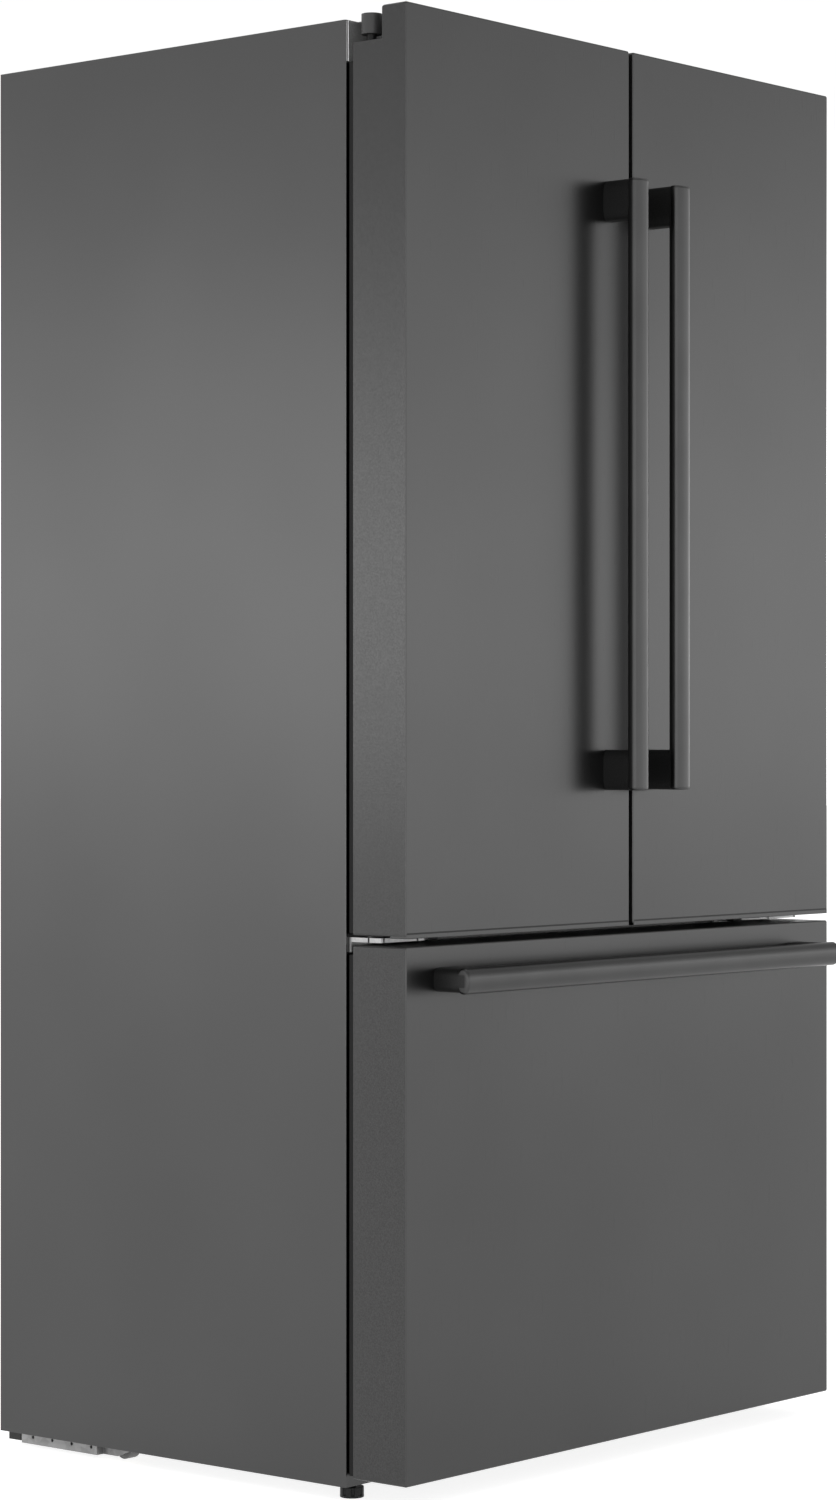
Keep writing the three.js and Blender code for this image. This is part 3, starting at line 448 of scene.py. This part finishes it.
def blocks(name, body, look, boxes, edge=0.6, slant=0.0, **facts):
    """Boxes (x0, x1, y0, y1, z0, z1) in millimetres as one piece; slant lifts z along y."""
    bm = bmesh.new()
    for x0, x1, y0, y1, z0, z1 in boxes:
        for vert in bmesh.ops.create_cube(bm, size=1)["verts"]:
            x, y, z = (c + 0.5 for c in vert.co)
            lift = slant * y * (y1 - y0)
            vert.co = Vector((x0 + x * (x1 - x0), y0 + y * (y1 - y0), z0 + z * (z1 - z0) + lift)) * MM
    piece = mesh_object(name, bm)
    if edge:
        soften(piece, edge * MM)
    return finish_piece(piece, body, look, **facts)


def mirrored(boxes, sign):
    """The right-hand boxes on the side given by the sign."""
    return [(min(sign * x0, sign * x1), max(sign * x0, sign * x1), *rest) for x0, x1, *rest in boxes]


def turned(name, body, look, profile, place, steps=32, **facts):
    """A turned shape from (radius, height) pairs in millimetres round local Z, moved by the matrix."""
    rings = [[place @ (Vector((radius * c, radius * s, height)) * MM) for c, s in circle(steps)]
             for radius, height in profile]
    return finish_piece(loft(name, rings), body, look, **facts)


def tube(name, body, look, points, radius, steps=12):
    """A round tube through points in millimetres."""
    path = [Vector(p) * MM for p in points]
    rings = []
    side = (path[1] - path[0]).orthogonal()
    for i, here in enumerate(path):
        along = (path[min(i + 1, len(path) - 1)] - path[max(i - 1, 0)]).normalized()
        side = (side - along * along.dot(side)).normalized()
        up = along.cross(side)
        rings.append([here + (side * c + up * s) * radius * MM for c, s in circle(steps)])
    return finish_piece(loft(name, rings), body, look)


def standing(x, y, z, facing=UP):
    """A matrix that puts local Z along the facing direction at a point in millimetres."""
    turn = Vector(facing).to_track_quat("Z", "Y").to_matrix().to_4x4()
    return Matrix.Translation(Vector((x, y, z)) * MM) @ turn


def screw(name, body, x, y, z, facing=UP, radius=4.2, proud=1.6):
    """A pan-head screw with a round socket, its head standing on the point."""
    socket = radius * 0.45
    profile = ((0.2, -0.8), (radius, -0.8), (radius, proud * 0.35), (radius * 0.86, proud * 0.8),
               (radius * 0.6, proud), (socket, proud), (socket * 0.9, proud * 0.2), (0.1, proud * 0.2))
    return turned(name, body, "bright", profile, standing(x, y, z, facing), 24)


# ---- carried-over pieces with finer edges ----
def not_front(face):
    return face.normal.y > -0.35


def faces_up(face):
    return face.normal.z > 0.6


def above(height):
    return lambda face: face.center.z > height


def behind(depth):
    return lambda face: face.center.y > depth


def below(height):
    return lambda face: face.center.z < height


def refine_outside():
    """The pieces that show while everything is shut, and the large linings behind them."""
    for side, _ in SIDES:
        refined(f"door_skin_{side}", 0, look="front", faces=(("grain", not_front),))
    refined("drawer_skin", 0, look="front", faces=(("trim", faces_up), ("grain", not_front)))
    refined("outer_case", SHEET_EDGE, look="side")
    for node in ("fresh_food_liner", "freezer_liner", "door_liner_left", "door_liner_right", "drawer_liner"):
        refined(node, MOULDED_EDGE, 3)


def refine_inside():
    for node in ("crisper_frame", "air_tower", "control_panel", "evaporator_cover", "freezer_basket"):
        refined(node, MOULDED_EDGE)
    for node in ("crisper_left", "crisper_right", "freezer_tray", "door_bin_lower_left",
                 "door_bin_lower_right", "door_bin_upper_left", "door_bin_upper_right"):
        refined(node, BIN_EDGE)


def refine_hinges():
    arm = (CASE_TOP_MM - HINGE_ARM_DROP) * MM
    for side, _ in SIDES:
        refined(f"top_hinge_{side}", HINGE_EDGE, faces=(("black", below(arm)),))
        node = f"middle_hinge_{side}"
        plate = (span_mm(node)[4] + BRACKET_PLATE_RISE) * MM
        refined(node, SHEET_EDGE, look="bracket", faces=(("powder", above(plate)),))


def refine_small():
    for node in SHELVES:
        refined(node, MOULDED_EDGE)
    # The rear tail of the compressor base takes the dark post finish: painted shade for the dark cavity
    # there.
    shaded_tail = (span_mm("compressor_base")[3] - BASE_SHADED_TAIL) * MM
    refined("compressor_base", SHEET_EDGE, look="base", faces=(("post", behind(shaded_tail)),))
    for node in ("fan_bracket", "drain_pan", "power_inlet", "centre_mullion",
                 "front_foot_left", "front_foot_right", "rear_roller_left", "rear_roller_right"):
        refined(node, SMALL_EDGE)
    for node in ("door_seal_left", "door_seal_right", "drawer_seal"):
        refined(node, SEAL_EDGE)


def dress_frame():
    """Gives every CAD node the material of its slot, which shows on those carried over."""
    for node, thing in frame["nodes"].items():
        thing.data.materials.clear()
        thing.data.materials.append(LOOK[SLOT_LOOK[NODE_SLOT[node]]])


# ---- handles ----
def handle(prefix, body, node, place, length):
    """A bar on two posts flush with its ends, made standing up and turned into place."""
    width = HANDLE_HIGH.x - HANDLE_LOW.x
    bar_y = HANDLE_LOW.y + BAR_DEPTH / 2
    rings = []
    for along, inset in rounded_ends(BAR_INSET, length - BAR_INSET, BAR_ROUND):
        section = oval_ring(width - 2 * inset, BAR_DEPTH - 2 * inset, BAR_STEPS, BAR_POWER)
        rings.append([place @ Vector((x, bar_y + y, along)) for x, y in section])
    finish_piece(loft(f"{prefix}_bar", rings), body, "bar", "dark_bar", (node,))
    foot = DOOR_FACE - POST_CLEAR
    reach = foot - HANDLE_LOW.y - POST_SHORT
    section = oval_ring(width - POST_NARROW, POST_LONG, POST_STEPS, POST_POWER)
    for end, along in (("a", POST_LONG / 2), ("b", length - POST_LONG / 2)):
        rings = [[place @ Vector((x, foot - share * reach, along + z)) for x, z in section]
                 for share in (0, 0.5, 1)]
        finish_piece(loft(f"{prefix}_post_{end}", rings), body, "post", "dark_bar", (node,))


def all_handles():
    for side, _ in SIDES:
        low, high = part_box(f"door_handle_{side}")
        stand = Matrix.Translation(((low.x + high.x) / 2, 0, low.z))
        handle(f"{side}_door_handle", f"{side}_door", f"door_handle_{side}", stand, high.z - low.z)
    low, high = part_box("drawer_handle")
    quarter = Matrix.Rotation(math.radians(90), 4, "Y")
    lay = Matrix.Translation((low.x, 0, (low.z + high.z) / 2)) @ quarter
    handle("drawer_handle", "freezer_drawer", "drawer_handle", lay, high.x - low.x)


# ---- cabinet: roof, front and back ----
def roof_and_front(side, sign):
    """Hinge cover and screws on the roof; on the cabinet's front edge, plates lightened as painted light,
    black blocks as painted shade by the middle hinges, and bright strips as painted highlights.
    """
    front, top = CASE_FRONT_MM, CASE_TOP_MM
    blocks(f"hinge_cover_{side}", "cabinet", "black",
           mirrored([(346, 405, front + 42, front + 104, top + 0.4, top + 10)], sign), 2.4)
    screw(f"hinge_cover_screw_{side}", "cabinet", sign * 375, front + 73, top + 10, radius=3.6, proud=0.9)
    for k, x in enumerate(HINGE_SCREW_X):
        screw(f"hinge_screw_{side}_{k}", "cabinet", sign * x, front + 26, top + 4)
        screw(f"bracket_screw_{side}_{k}", "cabinet", sign * (x - 34), front - 3.7, 683.5, FORWARD, 3.4, 1.2)
    # The front plates are real; their light tone is painted light in the shaded notch.
    blocks(f"corner_plate_{side}", "cabinet", "corner",
           mirrored([(384, 451.2, front - 0.9, front + 0.1, 1785.5, 1817),
                     (428, 451.2, front - 0.9, front + 0.1, 1767, 1786)], sign), 0.3)
    # A black block below each door's lower corner by the hinge bracket: painted shade, where the bracket
    # lies in shade.
    blocks(f"hinge_shade_block_{side}", "cabinet", "black",
           mirrored([(316, 338, front - 34, front - 5, 685.6, 693.6)], sign), 1.0)
    # A bright metal strip along each front corner of the cabinet's top: a painted highlight on the rounded
    # corner.
    blocks(f"corner_highlight_strip_{side}", "cabinet", "bright",
           mirrored([(447.6, 449.4, front - 2.2, front - 0.5, 1767, 1817)], sign), 0.4)


def rear_panel():
    """A thin field with a raised border and cross beads."""
    x0, x1, _, y1, z0, z1 = span_mm("rear_panel")
    border, inside = PANEL_BORDER, PANEL_INSIDE
    facts = {"slot": "zinc_steel", "replaces": ("rear_panel",)}
    blocks("rear_panel_field", "cabinet", "zinc",
           [(x0 + 1, x1 - 1, y1 - 1.3, y1 - 1.0, z0 + 1, z1 - 1)], 0, **facts)
    sheet = [(x0, x1, y1 - 1.3, y1, z, z + border) for z in (z0, z1 - border)]
    sheet += [(x, x + border, y1 - 1.3, y1, z0 + border - inside, z1 - border + inside)
              for x in (x0, x1 - border)]
    for k in range(1, PANEL_BEADS):
        z = z0 + k * (z1 - z0) / PANEL_BEADS
        sheet.append((x0 + 80, x1 - 80, y1 - 1.3, y1, z - 8, z + 8))
    blocks("rear_panel_beads", "cabinet", "zinc", sheet, 0.9, **facts)


def recessed(node, depth):
    """Replaces a plate on the back with a copy whose outer face is moved in, and returns that face's y.

    The lips and screws that stand on it then stay inside the cabinet's depth."""
    piece = refined(node, 0)
    outer = max(v.co.y for v in piece.data.vertices)
    for vert in piece.data.vertices:
        if vert.co.y > outer - 0.1 * MM:
            vert.co.y -= depth * MM
    return outer / MM - depth


def machine_cover():
    face = recessed("machine_cover", COVER_RECESS)
    slots = [(x - LOUVRE_HALF, x + LOUVRE_HALF, z) for x in LOUVRE_X for z in LOUVRE_Z]
    lips = [(x0, x1, face - 0.2, face + 0.42, z + 7, z + 10) for x0, x1, z in slots]
    blocks("louvre_lips", "cabinet", "zinc", lips, 0.2)
    vanes = [(x0, x1, face - 8, face - 0.3, z + 5.6, z + 6.6) for x0, x1, z in slots]
    blocks("louvre_vanes", "cabinet", "zinc", vanes, 0, -0.7)
    for k, (x, z) in enumerate((x, z) for x in (-438, -40, 120, 438) for z in (36, 250)):
        screw(f"cover_screw_{k}", "cabinet", x, face, z, BACKWARD, 3.8, 0.42)


# ---- machine compartment ----
def can_profile(radius, top):
    """(radius, height) pairs for the compressor's can: a rounded foot, a welded seam and a domed lid."""
    foot, seam, dome, lid = 42, 118, 46, radius - 2
    profile = [(1, foot)]
    for t in (k / 6 * math.pi / 2 for k in range(7)):
        profile.append((radius * (0.55 + 0.45 * math.sin(t)), foot + 22 * (1 - math.cos(t))))
    profile += [(radius, seam), (radius + 0.01, seam + 2), (radius - 0.4, seam + 3), (lid, seam + 8)]
    profile.append((lid, top - dome))
    for t in (k / 8 * math.pi / 2 for k in range(1, 8)):
        profile.append((lid * math.cos(t), top - dome + dome * math.sin(t)))
    return profile + [(1, top)]


def compressor():
    x0, x1, y0, y1, _, top = span_mm("compressor")
    x, y = (x0 + x1) / 2, (y0 + y1) / 2
    stands_for = {"replaces": ("compressor",)}
    turned("compressor_can", "cabinet", "enamel", can_profile((y1 - y0) / 2, top), standing(x, y, 0), 64,
           slot="compressor_black", **stands_for)
    blocks("compressor_plate", "cabinet", "enamel", [(x0, x1, y - 62, y + 62, 36, 39)], 0.8, **stands_for)
    mount = ((1, 20.5), (11, 20.5), (11, 26), (8, 28), (11, 31), (11, 38), (1, 38))
    for k, (dx, dy) in enumerate((dx, dy) for dx in (-90, 90) for dy in (-48, 48)):
        turned(f"compressor_mount_{k}", "cabinet", "black", mount, standing(x + dx, y + dy, 0), 20,
               **stands_for)
    blocks("compressor_terminals", "cabinet", "black", [(x + 70, x + 98, y - 22, y + 22, 92, 148)], 3)
    suction = ((-20, 70, 150), (-20, 92, 152), (-20, 100, 165), (-20, 102, 190), (-20, 102, 232),
               (-32, 102, 246), (-90, 102, 248))
    discharge = ((30, 68, 150), (30, 88, 152), (34, 96, 166), (50, 98, 236), (64, 98, 246),
                 (300, 98, 246), (322, 92, 240), (326, 40, 222))
    for name, route, radius in (("suction_pipe", suction, 4), ("discharge_pipe", discharge, 3)):
        tube(name, "cabinet", "copper", [(x + dx, y + dy, z) for dx, dy, z in route], radius)


def coil_bends(node, tubes, depth_share):
    """Round return bends between neighbouring rows at the two ends of a coil block."""
    x0, x1, y0, y1, z0, z1 = span_mm(node)
    pitch = (z1 - z0) / tubes
    y = y0 + depth_share * (y1 - y0)
    for k in range(tubes - 1):
        z = z0 + (k + 1) * pitch
        x, start = (x1 - 2, -90) if k % 2 == 0 else (x0 + 2, 270)
        angles = [math.radians(start + (90 - start) * i / 12) for i in range(13)]
        points = [(x + pitch / 2 * 0.55 * math.cos(a), y, z + pitch / 2 * math.sin(a)) for a in angles]
        tube(f"{node}_bend_{k}", "cabinet", "copper", points, 3.4)


# ---- fresh-food compartment ----
def lamp_and_keys():
    _, _, y0, y1, z0, z1 = span_mm("control_panel")
    blocks("lamp_cover", "cabinet", "lamp", [(-70, 70, y0 + 22, y1 - 22, z0 + 1, z1 - 1)], 2)
    keys = [(x, x + 12, y0 + 38, y0 + 46, z0 + 8, z1 - 1) for x in (-120, -100, 86, 106)]
    blocks("control_keys", "cabinet", "black", keys, 1)


def shelf_fittings():
    for node in SHELVES:
        x0, x1, y0, y1, z0, z1 = span_mm(node)
        blocks(f"{node}_trim", "cabinet", "moulding",
               [(x0, x1, y0 - 5, y0 + 9, z1 - 0.1, z1 + 2), (x0, x1, y0 - 5, y0 - 0.1, z0 - 7, z1 + 1),
                (x0, x1, y1 - 10, y1 + 3, z1 - 0.1, z1 + 7)], 0.9)
    for side, sign in SIDES:
        for k, node in enumerate(("shelf_upper_left", "shelf_lower")):
            z = span_mm(node)[4]
            blocks(f"shelf_ledge_{side}_{k}", "cabinet", "liner",
                   mirrored([(394, 405.2, -118, 300, z - 9, z - 0.2)], sign), 2)
    z = span_mm("shelf_upper_left")[4]
    blocks("shelf_centre_rail", "cabinet", "moulding",
           [(-13, 13, -104, 316, z - 8, z - 0.2), (-2.6, 2.6, -104, 316, z - 1, z + 7)], 1)


def crisper_fittings(side, sign):
    _, _, front, _, _, top = span_mm("crisper_frame")
    blocks(f"crisper_glass_{side}", "cabinet", "glass",
           mirrored([(8.4, 378, -119.6, 311.6, top - 5, top - 0.6)], sign), 0.4)
    blocks(f"humidity_slide_{side}", "cabinet", "black",
           mirrored([(170, 214, front - 1.2, front + 1, top - 9, top - 4),
                     (186, 198, front - 4, front, top - 9.6, top - 3.4)], sign), 0.7)


# ---- doors ----
def door_edges(side, sign):
    """The lip along a door's lower edge with a black strip above it as a painted shadow of the step, and the
    gaskets outside the main seals.
    """
    inner, low, face, rear = DOOR_INNER_MM, DOOR_LOW_MM, DOOR_FACE_MM, DOOR_REAR_MM
    door = f"{side}_door"
    blocks(f"lower_lip_{side}", door, "front",
           mirrored([(inner + 1, 451.4, face - 0.3, face + 26, low - 2.1, low + 3.7)], sign), 0.7)
    # A thin black strip just above the lip: a painted shadow of the step.
    blocks(f"lip_shadow_strip_{side}", door, "black",
           mirrored([(inner + 2, 450.5, face - 0.12, face + 2, low + 3.6, low + 5.1)], sign), 0)
    blocks(f"outer_gasket_{side}", door, "rubber",
           mirrored([(432, 450, rear - 0.1, rear + 8.9, low + 2, 1766)], sign), 1.2)
    blocks(f"drawer_gasket_{side}", "freezer_drawer", "rubber",
           mirrored([(432, 450, rear - 0.1, rear + 8.9, 33, 672)], sign), 1.2)


def bin_fittings(node):
    x0, x1, _, y1, z0, z1 = span_mm(node)
    blocks(f"{node}_trim", NODE_BODY[node], "moulding",
           [(x0 + 0.2, x1 - 0.2, y1 - 3.4, y1 + 2.6, z1 - 20, z1 + 0.8)], 1.6)
    ribs = [(x, x + 2, y1 - 1, y1 + 1.6, z0 + 8, z1 - 26) for x in (x0 + 40 + 43.8 * k for k in range(6))]
    blocks(f"{node}_ribs", NODE_BODY[node], "clear", ribs, 0.6)


def mullion_face():
    x0, _, y0, y1, z0, z1 = span_mm("centre_mullion")
    blocks("mullion_face", NODE_BODY["centre_mullion"], "moulding",
           [(x0 - 0.8, x0 + 0.3, y0 + 16, y1 - 6, z0 + 14, z1 - 14)], 0.3)


# ---- freezer drawer, rollers and base ----
def basket_fittings():
    _, _, y0, y1, z0, z1 = span_mm("freezer_basket")
    pitch = (y1 - y0 - 58) / (BASKET_RIBS - 1)
    places = [y0 + 26 + k * pitch for k in range(BASKET_RIBS)]
    ribs = [(367.5, 369.6, y, y + 5, z0 + 10, z1 - 8) for y in places]
    for side, sign in SIDES:
        blocks(f"basket_ribs_{side}", "freezer_drawer", "moulding", mirrored(ribs, sign), 0.9)
    blocks("basket_divider", "freezer_drawer", "moulding",
           [(-1.6, 1.6, y0 + 4, y1 - 10, z0 + 3.2, z1 - 60)], 1.0)
    floor = [(x - 2, x + 2, y0 + 14, y1 - 24, z0 + 2.8, z0 + 5) for x in range(-300, 301, 75) if x]
    blocks("basket_floor_ribs", "freezer_drawer", "moulding", floor, 0.8)


def roller_fittings(side, sign):
    blocks(f"skirt_backing_{side}", "cabinet", "black",
           mirrored([(438, 445.2, 207.5, 345, 9, 18.4)], sign), 0)
    node = f"rear_roller_{side}"
    x0, x1, y0, y1, z0, z1 = span_mm(node)
    hub = ((3.2, -0.5), (8, -0.5), (8, 0.5), (7, 1), (3.2, 1))
    axle = standing(x1 if sign > 0 else x0, (y0 + y1) / 2, (z0 + z1) / 2, (sign, 0, 0))
    turned(f"roller_hub_{side}", NODE_BODY[node], "black", hub, axle, 28)


# ---- stage, light and camera ----
def plain_stage():
    bm = bmesh.new()
    bmesh.ops.create_grid(bm, x_segments=1, y_segments=1, size=40)
    floor = mesh_object("studio_floor", bm)
    n = Nodes("studio_floor").set(Roughness=0.9, Specular_IOR_Level=0.0, Emission_Color=(1, 1, 1, 1),
                                  Emission_Strength=0.85)
    n.base(n.ramp(n.noise(2, 2), grey(0.55), grey(0.56)))
    floor.data.materials.append(n.material)


def soft_world():
    """Light from all round, brightest in a band at the horizon."""
    world = bpy.data.worlds.new("studio")
    scene.world = world
    world.use_nodes = True
    tree = world.node_tree
    place = tree.nodes.new("ShaderNodeTexCoord")
    split = tree.nodes.new("ShaderNodeSeparateXYZ")
    tree.links.new(place.outputs["Generated"], split.inputs["Vector"])
    ramp = tree.nodes.new("ShaderNodeValToRGB")
    ramp.color_ramp.interpolation = "EASE"
    elements = ramp.color_ramp.elements
    while len(elements) < len(STUDIO_BAND):
        elements.new(0.5)
    for element, (elevation, value) in zip(elements, STUDIO_BAND):
        element.position = (math.sin(math.radians(elevation)) + 1) / 2
        element.color = (value, value, value, 1)
    shift = tree.nodes.new("ShaderNodeMapRange")
    shift.inputs["From Min"].default_value = -1
    tree.links.new(split.outputs["Z"], shift.inputs["Value"])
    tree.links.new(shift.outputs["Result"], ramp.inputs["Fac"])
    background = tree.nodes["Background"]
    background.inputs["Strength"].default_value = STUDIO_STRENGTH
    tree.links.new(ramp.outputs["Color"], background.inputs["Color"])


def overhead_light(strength, spread):
    """A wide soft light from straight above, which brings the floor up to white."""
    data = bpy.data.lights.new("overhead", "SUN")
    data.energy = strength
    data.angle = math.radians(spread)
    scene.collection.objects.link(bpy.data.objects.new("overhead", data))


def soft_light(name, target, angle, distance, height, size, power):
    """An area light at an angle in degrees from the doors' normal towards +X, aimed at the target."""
    data = bpy.data.lights.new(name, "AREA")
    data.shape = "RECTANGLE"
    data.size, data.size_y = size
    data.energy = power
    lamp = bpy.data.objects.new(name, data)
    turn = math.radians(angle)
    outward = Vector((math.sin(turn), -math.cos(turn), 0))
    lamp.location = Vector(target) + outward * distance + Vector((0, 0, height))
    lamp.rotation_euler = (Vector(target) - lamp.location).to_track_quat("-Z", "Y").to_euler()
    scene.collection.objects.link(lamp)


def photo_camera():
    data = bpy.data.cameras.new("camera")
    data.lens = CAMERA_LENS
    data.sensor_width = 36
    data.shift_y = CAMERA_SHIFT
    data.clip_end = 200
    camera = bpy.data.objects.new("camera", data)
    camera.location = Vector((-CASE_SIDE, DOOR_FACE, 0)) + CAMERA_FROM_EDGE
    camera.rotation_euler = (math.pi / 2, 0, CAMERA_YAW)
    scene.collection.objects.link(camera)
    scene.camera = camera


# ---- the whole refrigerator ----
refine_outside()
refine_inside()
refine_hinges()
refine_small()
dress_frame()
all_handles()
for side, sign in SIDES:
    roof_and_front(side, sign)
rear_panel()
machine_cover()
compressor()
coil_bends("condenser", 4, 0.3)
coil_bends("evaporator", 3, 0.5)
lamp_and_keys()
shelf_fittings()
for side, sign in SIDES:
    crisper_fittings(side, sign)
for side, sign in SIDES:
    door_edges(side, sign)
for side, _ in SIDES:
    for level in ("lower", "upper"):
        bin_fittings(f"door_bin_{level}_{side}")
mullion_face()
basket_fittings()
for side, sign in SIDES:
    roller_fittings(side, sign)

plain_stage()
soft_world()
overhead_light(0.4, 60)
soft_light("bar_light", (-0.1, DOOR_FACE, 1.0), math.degrees(CAMERA_YAW), 5.0, 0.2, (3.0, 1.6), 10)
scene.view_settings.view_transform = "Standard"
photo_camera()
